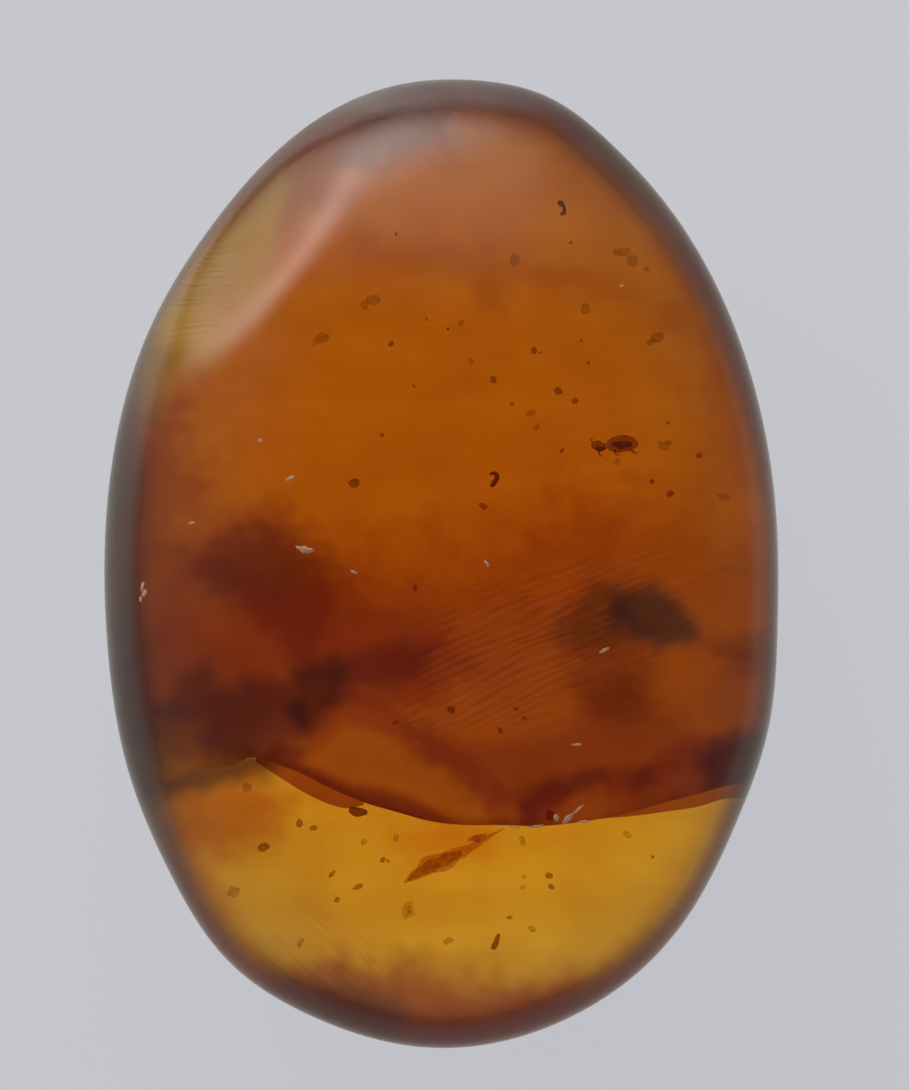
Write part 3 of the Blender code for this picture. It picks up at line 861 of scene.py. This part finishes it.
def make_scratch_group():
    """Fine lines side by side, broken here and there: the lines, and the gaps between them."""
    group = bpy.data.node_groups.new("scratch_lines", "ShaderNodeTree")
    for socket, way, kind in (
        ("Place", "INPUT", "NodeSocketVector"),
        ("Turn", "INPUT", "NodeSocketFloat"),
        ("Spacing", "INPUT", "NodeSocketFloat"),
        ("Lines", "OUTPUT", "NodeSocketFloat"),
        ("Gaps", "OUTPUT", "NodeSocketFloat"),
    ):
        group.interface.new_socket(socket, in_out=way, socket_type=kind)
    given = put(group, "NodeGroupInput").outputs
    turned = put(
        group,
        "ShaderNodeVectorRotate",
        {"Vector": given["Place"], "Angle": given["Turn"]},
        rotation_type="Z_AXIS",
        invert=True,
    )
    parts = put(group, "ShaderNodeSeparateXYZ", {"Vector": turned.outputs["Vector"]}).outputs
    along = maths(group, "DIVIDE", parts["X"], SCRATCH_LENGTH)
    across = maths(group, "DIVIDE", parts["Y"], given["Spacing"])
    grid = put(group, "ShaderNodeCombineXYZ", {"X": along, "Y": across}).outputs["Vector"]
    wobble = mottling(group, grid, SCRATCH_BEND_SCALE, detail=0.0)
    bent = maths(group, "MULTIPLY_ADD", wobble, SCRATCH_BEND, across)
    wave = maths(group, "SINE", maths(group, "MULTIPLY", bent, 2 * math.pi))
    streak = mottling(group, grid, SCRATCH_BREAK_SCALE, detail=2.0)
    seen = ramp(group, streak, *SCRATCH_SHOWS, smooth=False)
    result = put(group, "NodeGroupOutput")
    for socket, part in (("Lines", LINE_PART), ("Gaps", GAP_PART)):
        ridge = ramp(group, wave, *part, smooth=False)
        group.links.new(maths(group, "MULTIPLY", ridge, seen), result.inputs[socket])
    return group


def read_scratches(tree, place):
    """The scratch pattern for the turn and spacing kept in the mesh, and its strength."""
    facts = put(tree, "ShaderNodeAttribute", attribute_name="scratches").outputs["Vector"]
    strength, turn, spacing = put(tree, "ShaderNodeSeparateXYZ", {"Vector": facts}).outputs
    pattern = put(
        tree,
        "ShaderNodeGroup",
        {"Place": place, "Turn": turn, "Spacing": spacing},
        node_tree=scratch_group,
    )
    return pattern.outputs, strength


def make_amber():
    """Clear amber with a matt base, a polished crown, and haze and scratches on the polish."""
    material, tree, shader, output = new_material("clear_amber")
    set_sockets(shader, {
        "Base Color": (1, 1, 1, 1),
        "IOR": AMBER_IOR,
        "Transmission Weight": 1.0,
        "Coat Roughness": HAZE_ROUGHNESS,
        "Coat IOR": HAZE_IOR,
    })
    place = place_in_mm(tree)
    rise = put(tree, "ShaderNodeSeparateXYZ", {"Vector": place}).outputs["Z"]
    finish = ramp(tree, rise, POLISH_STARTS, POLISH_FULL, BASE_ROUGHNESS, CROWN_ROUGHNESS)
    tree.links.new(finish, shader.inputs["Roughness"])
    haze = put(tree, "ShaderNodeAttribute", attribute_name="haze").outputs["Fac"]
    patchy = mottling(tree, place, HAZE_SCALE, detail=3.0)
    uneven = ramp(tree, patchy, *HAZE_NOISE, low=HAZE_LEAST, smooth=False)
    worn = maths(tree, "MULTIPLY", haze, uneven)
    scratches, strength = read_scratches(tree, place)
    marked = maths(tree, "MULTIPLY_ADD", scratches["Lines"], strength, worn, clamp=True)
    tree.links.new(marked, shader.inputs["Coat Weight"])
    volume = put(
        tree, "ShaderNodeVolumeAbsorption", {"Color": (*AMBER_COLOUR, 1), "Density": AMBER_DENSITY}
    )
    tree.links.new(volume.outputs["Volume"], output.inputs["Volume"])
    return material


def soften(share):
    """Rounds off a straight ramp between 0 and 1."""
    return share**2 * (3 - 2 * share)


def oval_share(x, y, middle, half_size, turn, softness):
    """1 inside an oval and 0 outside it, with a soft rim."""
    cos, sin = math.cos(math.radians(turn)), math.sin(math.radians(turn))
    apart_x, apart_y = x - middle[0], y - middle[1]
    along = (apart_x * cos + apart_y * sin) / half_size[0]
    across = (apart_y * cos - apart_x * sin) / half_size[1]
    return soften(np.clip((1 + softness - np.hypot(along, across)) / (2 * softness), 0, 1))


def worn_share(point):
    """How worn the crown's polish is at a point."""
    shares = [
        strength * oval_share(point.x, point.y, middle, half_size, turn, softness)
        for middle, half_size, turn, softness, strength in WORN_PLACES
    ]
    return float(max(shares))


def patch_share(x, y, corners, softness):
    """1 inside a patch with straight sides and 0 outside it, with a soft rim."""
    nearest = np.full(x.shape, np.inf)
    inside = np.zeros(x.shape, dtype=bool)
    for (x1, y1), (x2, y2) in zip(corners, [*corners[1:], corners[0]]):
        side_x, side_y = x2 - x1, y2 - y1
        along = ((x - x1) * side_x + (y - y1) * side_y) / (side_x**2 + side_y**2)
        along = np.clip(along, 0, 1)
        nearest = np.minimum(nearest, np.hypot(x - x1 - along * side_x, y - y1 - along * side_y))
        if y1 != y2:
            inside ^= ((y1 > y) != (y2 > y)) & (x < x1 + (y - y1) / side_y * side_x)
    return soften(np.clip(0.5 + np.where(inside, nearest, -nearest) / (2 * softness), 0, 1))


def scratch_facts(point):
    """How scratched the crown is at a point, which way the scratches run, and their spacing."""
    found = Vector((0, 0, SCRATCHED_PLACES[0][-1]))
    for middle, half_size, turn, softness, strength, spacing in SCRATCHED_PLACES:
        share = strength * float(oval_share(point.x, point.y, middle, half_size, turn, softness))
        if share > found.x:
            found = Vector((share, math.radians(turn), spacing))
    return found


def make_stone(material):
    """The whole stone as one clear piece. Its mesh keeps where it is hazy and scratched."""
    shape = bmesh.new()
    bmesh.ops.create_uvsphere(
        shape, u_segments=STONE_SEGMENTS, v_segments=STONE_RINGS, radius=1.0
    )
    haze = shape.verts.layers.float.new("haze")
    scratches = shape.verts.layers.float_vector.new("scratches")
    for vertex in shape.verts:
        vertex.co = stone_point(vertex.co)
        if vertex.co.z > GIRDLE_Z:
            vertex[haze] = worn_share(vertex.co)
            vertex[scratches] = scratch_facts(vertex.co)
    return link_mesh("amber_stone", shape, material)


# The flow layer inside the stone

def in_layer(seen):
    """The point of the flow layer that the camera sees at a place of the girdle plane."""
    return lies_at(*seen, LAYER_Z)


def smooth_way(t, start, start_slope, end, end_slope):
    """From one value to the next while t goes from 0 to 1, with a given slope at each."""
    return (
        start * (2 * t**3 - 3 * t**2 + 1)
        + start_slope * (t**3 - 2 * t**2 + t)
        + end * (3 * t**2 - 2 * t**3)
        + end_slope * (t**3 - t**2)
    )


def curve_through(seen_points):
    """A smooth curve over x through points of the flow layer from left to right, and its ends."""
    places = [in_layer(seen) for seen in seen_points]
    xs = np.array([place.x for place in places])
    ys = np.array([place.y for place in places])
    slopes = np.gradient(ys, xs)

    def height_at(x):
        first = int(np.clip(np.searchsorted(xs, x) - 1, 0, len(xs) - 2))
        width = xs[first + 1] - xs[first]
        t = min(max((x - xs[first]) / width, 0), 1)
        after = first + 1
        return float(
            smooth_way(t, ys[first], slopes[first] * width, ys[after], slopes[after] * width)
        )

    return height_at, xs[0], xs[-1]


def outline_reach(rising):
    """How far the inset outline reaches up or down along y, as a curve over x, and its ends."""
    turn = 1 if rising else -1
    angles = [math.radians(turn * a) for a in range(180, -1, -2)]
    xs = [outline_radius(a) * math.cos(a) * FLOW_INSET for a in angles]
    ys = [outline_radius(a) * math.sin(a) * FLOW_INSET for a in angles]
    return (lambda x: float(np.interp(x, xs, ys))), xs[0], xs[-1]


def stain_tints(points, tint, stains):
    """The tint of each point: the skin's own tint under its stains, with ragged rims."""
    places = np.array([(point.x, point.y) for point in points])
    pushes = [
        sum((reach * noise.noise_vector(point * scale) for reach, scale in RAGGED_RIMS), Vector())
        for point in points
    ]
    ragged = np.array([(push.x, push.y) for push in pushes])
    tints = np.tile(np.array(tint), (len(points), 1))
    for softness, stain, seen_corners in stains.values():
        pushed = places + (LEAST_RAGGED + softness) * ragged
        corners = [in_layer(seen).xy for seen in seen_corners]
        mask = patch_share(*pushed.T, corners, softness)[:, None]
        stained = np.array(stain) if stain in (FADED, OLIVE) else tints * np.array(stain)
        tints = tints * (1 - mask) + stained * mask
    return tints


def close_below(shape, *layers):
    """Gives an open sheet a second face just below it, and walls along its rim."""
    rim = [edge for edge in shape.edges if edge.is_boundary]
    rim_pairs = [tuple(edge.verts) for edge in rim]
    upper = list(shape.faces)
    twins = {}
    for vertex in list(shape.verts):
        twins[vertex] = shape.verts.new(vertex.co - Vector((0, 0, FLOW_THICKNESS)))
        for layer in layers:
            twins[vertex][layer] = vertex[layer]
    for face in upper:
        shape.faces.new([twins[vertex] for vertex in reversed(face.verts)])
    for first, second in rim_pairs:
        shape.faces.new((first, second, twins[second], twins[first]))
    bmesh.ops.recalc_face_normals(shape, faces=shape.faces)


def make_skin(name, low, high, tint, stains, material, grid, drop=0.0):
    """A thin closed sheet of the flow layer between two curves over x, with a tint per point.

    The sharp edge of the upper skin is its low curve, and that of a dropped one its high curve.
    """
    columns, rows = grid
    (low_at, low_left, low_right), (high_at, high_left, high_right) = low, high
    left, right = max(low_left, high_left), min(low_right, high_right)
    bottom_at, top_at = outline_reach(False)[0], outline_reach(True)[0]
    points = []
    from_edge = []
    for column in range(columns + 1):
        reach = (right - left) / 2 * math.cos(math.pi * column / columns) * COLUMN_REACH
        x = (left + right) / 2 - reach
        near, far = low_at(x), high_at(x)
        if drop:
            near, far = far, near
        for row in range(rows + 1):
            y = near + (far - near) * (row / rows) ** ROW_CROWDING
            y = min(max(y, bottom_at(x)), top_at(x))
            points.append(Vector((x, y, LAYER_Z - drop)))
            from_edge.append(abs(y - near))
    tints = stain_tints(points, tint, stains)
    if not drop:
        strip = np.clip(1 - np.array(from_edge) / EDGE_STRIP, 0, 1) ** EDGE_STRIP_FADE
        strip *= np.clip(np.array([point.x for point in points]) - EDGE_STRIP_FROM, 0, 1)
        tints *= 1 - strip[:, None] * np.array(EDGE_STRIP_DEPTH)
    shape = bmesh.new()
    tint_layer = shape.verts.layers.float_color.new("tint")
    scratches = shape.verts.layers.float_vector.new("scratches")
    for point, colour in zip(points, tints):
        vertex = shape.verts.new(point)
        vertex[tint_layer] = (*np.clip(colour, 0, 1), 1)
        vertex[scratches] = scratch_facts(point)
    shape.verts.ensure_lookup_table()
    for column in range(columns):
        for row in range(rows):
            first = column * (rows + 1) + row
            corners = (first, first + rows + 1, first + rows + 2, first + 1)
            shape.faces.new([shape.verts[corner] for corner in corners])
    close_below(shape, tint_layer, scratches)
    return link_mesh(name, shape, material)


def make_skin_material():
    """See-through skin: its tint, with clouds, streaks, and the painted light and shade of the
    crown's scratches in it.
    """
    material, tree, shader, output = new_material("flow_skin")
    set_sockets(shader, SEE_THROUGH)
    place = place_in_mm(tree)
    clouds = mottling(tree, place, CLOUD_SCALE, detail=3.0)
    stretched = put(
        tree,
        "ShaderNodeMapping",
        {"Vector": place, "Scale": STREAK_STRETCH, "Rotation": (0, 0, math.radians(STREAK_TURN))},
    ).outputs["Vector"]
    streaks = mottling(tree, stretched, STREAK_SCALE, detail=2.0)
    scratches, strength = read_scratches(tree, place)
    # Painted shade (the gaps) and painted light (the lines) of the crown's scratches on the skin.
    painted_dark_lines = maths(tree, "MULTIPLY", scratches["Gaps"], strength)
    painted_pale_lines = maths(tree, "MULTIPLY", scratches["Lines"], strength)
    colour = put(tree, "ShaderNodeAttribute", attribute_name="tint").outputs["Color"]
    for pattern, (fullest, none, tint) in (
        (clouds, CLOUDS),
        (streaks, STREAKS),
        (painted_dark_lines, SCRATCH_PAINTED_SHADE),
        (painted_pale_lines, SCRATCH_PAINTED_LIGHT),
    ):
        share = ramp(tree, pattern, fullest, none, smooth=False)
        mix = put(
            tree,
            "ShaderNodeMix",
            {"Factor": 1.0, "A": colour, "B": between(tree, share, tint, NO_TINT)},
            data_type="RGBA",
            blend_type="MULTIPLY",
        )
        colour = mix.outputs["Result"]
    tree.links.new(colour, shader.inputs["Base Color"])
    return material


# Plant remains, grains and chips

def make_strand(shape, points, radii, flatness, lumps, seed):
    """A closed strand of round sections along a line of points, a little lumpy."""
    rings = []
    for index, (point, radius) in enumerate(zip(points, radii)):
        before = points[max(index - 1, 0)]
        after = points[min(index + 1, len(points) - 1)]
        along = (after - before).normalized()
        side = along.cross(Vector((0, 0, 1))).normalized()
        up = side.cross(along)
        ring = []
        for step in range(STRAND_SIDES):
            turn = 2 * math.pi * step / STRAND_SIDES
            reach = side * math.cos(turn) + up * math.sin(turn) * flatness
            place = point + reach * radius
            lump = noise.noise(place * STRAND_LUMP_SCALE + Vector((seed, 0, 0)))
            ring.append(shape.verts.new(place + reach * radius * lumps * lump))
        rings.append(ring)
    for ring, following in zip(rings, rings[1:]):
        for step in range(STRAND_SIDES):
            nearby = (step + 1) % STRAND_SIDES
            shape.faces.new((ring[step], ring[nearby], following[nearby], following[step]))
    shape.faces.new(list(reversed(rings[0])))
    shape.faces.new(rings[-1])


def smooth_line(knots, steps):
    """Points and radii along a smooth line through knots of (x, y, z, radius)."""
    knots = np.array(knots, dtype=float)
    slopes = np.gradient(knots, axis=0)
    points, radii = [], []
    for step in range(steps + 1):
        t = step / steps * (len(knots) - 1)
        first = min(int(t), len(knots) - 2)
        after = first + 1
        here = smooth_way(t - first, knots[first], slopes[first], knots[after], slopes[after])
        points.append(Vector(here[:3]))
        radii.append(max(float(here[3]), THINNEST))
    return points, radii


def make_remain(name, strands, material):
    """One piece of remains from its strands, each seen where the photo shows it."""
    shape = bmesh.new()
    for seed, (flatness, lumps, seen_knots) in enumerate(strands):
        knots = [(*lies_at(x, y, LAYER_Z), radius) for x, y, radius in seen_knots]
        points, radii = smooth_line(knots, STEPS_PER_KNOT * len(knots))
        make_strand(shape, points, radii, flatness, lumps, 7.0 * seed + len(name))
    bmesh.ops.recalc_face_normals(shape, faces=shape.faces)
    return link_mesh(name, shape, material)


def make_grains(name, grains, material):
    """Many small lumps as one mesh, each seen at its place, at its own depth."""
    shape = bmesh.new()
    for number, (seen_x, seen_y, size) in enumerate(grains):
        spread = random.Random(number * 7 + len(name))
        place = lies_at(seen_x, seen_y, spread.uniform(*GRAIN_DEPTHS))
        stretch = Vector([spread.uniform(*span) for span in GRAIN_STRETCH])
        made = bmesh.ops.create_icosphere(shape, subdivisions=2, radius=GRAIN_RADIUS * size)
        turn = Matrix.Rotation(spread.uniform(0, math.pi), 3, "Z")
        shift = Vector((9 * number, 0, 0))
        for vertex in made["verts"]:
            lump = noise.noise(vertex.co * (GRAIN_LUMP_SCALE / size) + shift)
            vertex.co = place + turn @ (vertex.co * (1 + GRAIN_LUMPS * lump) * stretch)
    return link_mesh(name, shape, material)


def make_chips(material):
    """Thin pale lumps that lie in the polish of the crown, as one mesh."""
    shape = bmesh.new()
    for number, (seen, length, width, turn) in enumerate(CHIPS):
        entry = on_crown(*seen)[1]
        normal = crown_normal(entry.x, entry.y)
        lean = Vector((0, 0, 1)).rotation_difference(normal).to_matrix()
        spin = Matrix.Rotation(math.radians(turn), 3, "Z")
        made = bmesh.ops.create_icosphere(shape, subdivisions=3, radius=0.5)
        shift = Vector((11 * number, 0, 0))
        for vertex in made["verts"]:
            lump = 1 + noise.noise(vertex.co * CHIP_LUMP_SCALE + shift)
            flat = Vector((vertex.co.x * length, vertex.co.y * width, 0)) * lump
            flat.z = vertex.co.z * CHIP_THICKNESS
            vertex.co = entry + lean @ (spin @ flat)
    return link_mesh("pale_chips", shape, material)


def make_chip_material():
    """Pale broken amber, with a painted glow for the light that it catches."""
    material, tree, shader, output = new_material("pale_chip")
    set_sockets(shader, {
        "Roughness": 0.6,
        "Specular IOR Level": 0.1,
        # The emission is a painted glow, not a lamp.
        "Emission Color": (*CHIP_PAINTED_GLOW_COLOUR, 1),
        "Emission Strength": CHIP_PAINTED_GLOW,
    })
    mottle = mottling(tree, place_in_mm(tree), CHIP_MOTTLE_SCALE, detail=3.0)
    tree.links.new(between(tree, mottle, CHIP_BROWN, CHIP_PALE), shader.inputs["Base Color"])
    return material


def make_tissue(name, colour):
    """See-through mottled tissue."""
    material, tree, shader, output = new_material(name)
    set_sockets(shader, SEE_THROUGH)
    mottle = mottling(tree, place_in_mm(tree), TISSUE_MOTTLE_SCALE, detail=4.0)
    share = ramp(tree, mottle, *TISSUE_NOISE, smooth=False)
    darkest = [TISSUE_DARKEST * part for part in colour]
    tree.links.new(between(tree, share, darkest, colour), shader.inputs["Base Color"])
    return material


# Floor, light and camera

def make_floor():
    """The lit pad under the stone, with a pool of light painted under it. The polish mirrors the
    world's dimmer pad instead.
    """
    material, tree, shader, output = new_material("pale_pad")
    set_sockets(shader, {
        "Roughness": 0.9,
        "Specular IOR Level": 0.0,
        "Emission Strength": PAD_GLOW,
    })
    place = put(tree, "ShaderNodeTexCoord").outputs["Object"]
    away = vector_maths(tree, "LENGTH", {0: place}, "Value")
    fade = ramp(tree, away, LIT_RADIUS * MM, DARK_RADIUS * MM)
    shrink = Vector((1 / HALF_WIDTH, 1 / HALF_LENGTH, 0)) / MM
    oval = vector_maths(tree, "MULTIPLY", {0: place, 1: shrink})
    share = vector_maths(tree, "LENGTH", {0: oval}, "Value")
    # The painted pool of light: the pad glows brighter under the stone's outline.
    near = ramp(tree, share, *PAINTED_POOL_FADE, PAINTED_POOL_GLOW, 1.0)
    light = between(tree, fade, PAD_GLOW_COLOUR, FAR_GLOW_COLOUR)
    glow_with_painted_pool = vector_maths(tree, "SCALE", {0: light, "Scale": near})
    tree.links.new(glow_with_painted_pool, shader.inputs["Emission Color"])
    tree.links.new(between(tree, fade, PAD_COLOUR, FAR_COLOUR), shader.inputs["Base Color"])
    bpy.ops.mesh.primitive_circle_add(vertices=96, radius=PAD_RADIUS * MM, fill_type="NGON")
    floor = bpy.context.object
    floor.name = "floor"
    floor.location.z = -PAD_DROP * MM
    floor.data.materials.append(material)
    floor.visible_glossy = False
    material.cycles.emission_sampling = "NONE"


def aim(turn, rise=0):
    """The direction of length 1 with this turn and this rise."""
    turn, rise = math.radians(turn), math.radians(rise)
    level = math.cos(rise)
    return Vector((math.cos(turn) * level, math.sin(turn) * level, math.sin(rise)))


def make_world():
    """What the polish mirrors: a dim room, the pad at a slant below it, and a patch of sky."""
    world = bpy.data.worlds.new("room")
    bpy.context.scene.world = world
    world.use_nodes = True
    world.cycles.sampling_method = "NONE"
    tree = world.node_tree
    direction = put(tree, "ShaderNodeTexCoord").outputs["Generated"]
    rise = put(tree, "ShaderNodeSeparateXYZ", {"Vector": direction}).outputs["Z"]
    room = ramp(tree, rise, 0.0, ROOM_CLEARS_AT, ROOM_HORIZON, ROOM_ABOVE)
    leans = {0: direction, 1: aim(SLANT_LEAN_TOWARDS)}
    ahead = maths(tree, "MAXIMUM", vector_maths(tree, "DOT_PRODUCT", leans, "Value"), 0.0)
    steep = maths(tree, "POWER", ahead, SLANT_LEAN_POWER)
    pad = maths(tree, "MULTIPLY_ADD", steep, SLANT_LEAN, SLANT_GLOW)
    down = ramp(tree, rise, 0.0, SLANT_FULL_AT)
    colour = between(tree, down, ROOM_COLOUR, SLANT_GLOW_COLOUR)
    strength = put(
        tree, "ShaderNodeMix", {"Factor": down, "A": room, "B": pad}, data_type="FLOAT"
    ).outputs["Result"]
    faces = {0: direction, 1: aim(SKY_TOWARDS, SKY_RISE)}
    facing = vector_maths(tree, "DOT_PRODUCT", faces, "Value")
    rim = math.cos(math.radians(SKY_REACH))
    sky = ramp(tree, facing, rim, SKY_FULL_COSINE, high=SKY_GLOW)
    background = tree.nodes["Background"]
    tree.links.new(colour, background.inputs["Color"])
    tree.links.new(maths(tree, "ADD", strength, sky), background.inputs["Strength"])


def make_window():
    """A wide soft light, low beyond the stone's upper left end, that only reflections show."""
    material, tree, shader, output = new_material("window_light")
    place = put(tree, "ShaderNodeTexCoord").outputs["Object"]
    away = vector_maths(tree, "LENGTH", {0: place}, "Value")
    fade = ramp(tree, away, 1.0, 0.0, high=WINDOW_GLOW)
    glow = put(tree, "ShaderNodeEmission", {"Strength": fade, "Color": (*WINDOW_COLOUR, 1)})
    clear = put(tree, "ShaderNodeBsdfTransparent")
    both = put(
        tree, "ShaderNodeAddShader", {0: glow.outputs["Emission"], 1: clear.outputs["BSDF"]}
    )
    tree.links.new(both.outputs["Shader"], output.inputs["Surface"])
    tree.nodes.remove(shader)
    bpy.ops.mesh.primitive_plane_add(size=2.0)
    window = bpy.context.object
    window.name = "window"
    towards = aim(WINDOW_TOWARDS, WINDOW_RISE)
    window.location = towards * WINDOW_DISTANCE * MM
    window.rotation_mode = "QUATERNION"
    window.rotation_quaternion = towards.to_track_quat("Z", "Y")
    window.scale = (WINDOW_HALF_WIDTH * MM, WINDOW_HALF_HEIGHT * MM, 1)
    window.data.materials.append(material)
    material.cycles.emission_sampling = "NONE"
    window.visible_camera = False
    window.visible_transmission = False


def make_camera():
    """The camera straight above the stone, as in the photo."""
    data = bpy.data.cameras.new("camera")
    data.lens = CAMERA_LENS
    data.sensor_width = SENSOR
    data.clip_start = 1 * MM
    camera = bpy.data.objects.new("camera", data)
    camera.location = Vector((*CAMERA_OFFSET, CAMERA_Z)) * MM
    bpy.context.scene.collection.objects.link(camera)
    bpy.context.scene.camera = camera


make_camera()
make_world()
make_floor()
make_window()

noise.seed_set(RAGGED_SEED)
scratch_group = make_scratch_group()
on_body(make_stone(make_amber()), "amber", "amber_base", "amber_crown")

skin = make_skin_material()
edge = curve_through(FLOW_EDGE)
bottom, top = outline_reach(False), outline_reach(True)
upper = make_skin("upper_skin", edge, top, UPPER_SKIN, UPPER_STAINS, skin, UPPER_GRID)
on_body(upper, "resin_film", "flow_film")
lower = make_skin(
    "lower_skin", bottom, edge, LOWER_SKIN, LOWER_STAINS, skin, LOWER_GRID, drop=LOWER_FLOW_DROP
)
on_body(lower, "amber")
for name, line in (("left_crescent", LEFT_CRESCENT), ("right_crescent", RIGHT_CRESCENT)):
    outer = curve_through(line)
    drop = LOWER_FLOW_DROP / 2
    crescent = make_skin(name, outer, edge, CRESCENT_SKIN, {}, skin, CRESCENT_GRID, drop)
    on_body(crescent, "resin_film")

tissues = {name: make_tissue(*tissue) for name, tissue in TISSUES.items()}
for name, strands in REMAINS.items():
    remain = make_remain("fine_" + name, strands, tissues.get(name, tissues["dark"]))
    on_body(remain, SLOTS.get(name, "plant_debris"), name)
on_body(make_grains("brown_grains", BROWN_GRAINS, tissues["brown"]), "plant_debris")
on_body(make_grains("olive_grains", OLIVE_GRAINS, tissues["olive"]), "plant_debris")
on_body(make_chips(make_chip_material()), "amber")

scene = bpy.context.scene
scene.view_settings.view_transform = "Standard"
scene.cycles.max_bounces = LIGHT_BOUNCES
scene.cycles.transmission_bounces = LIGHT_BOUNCES
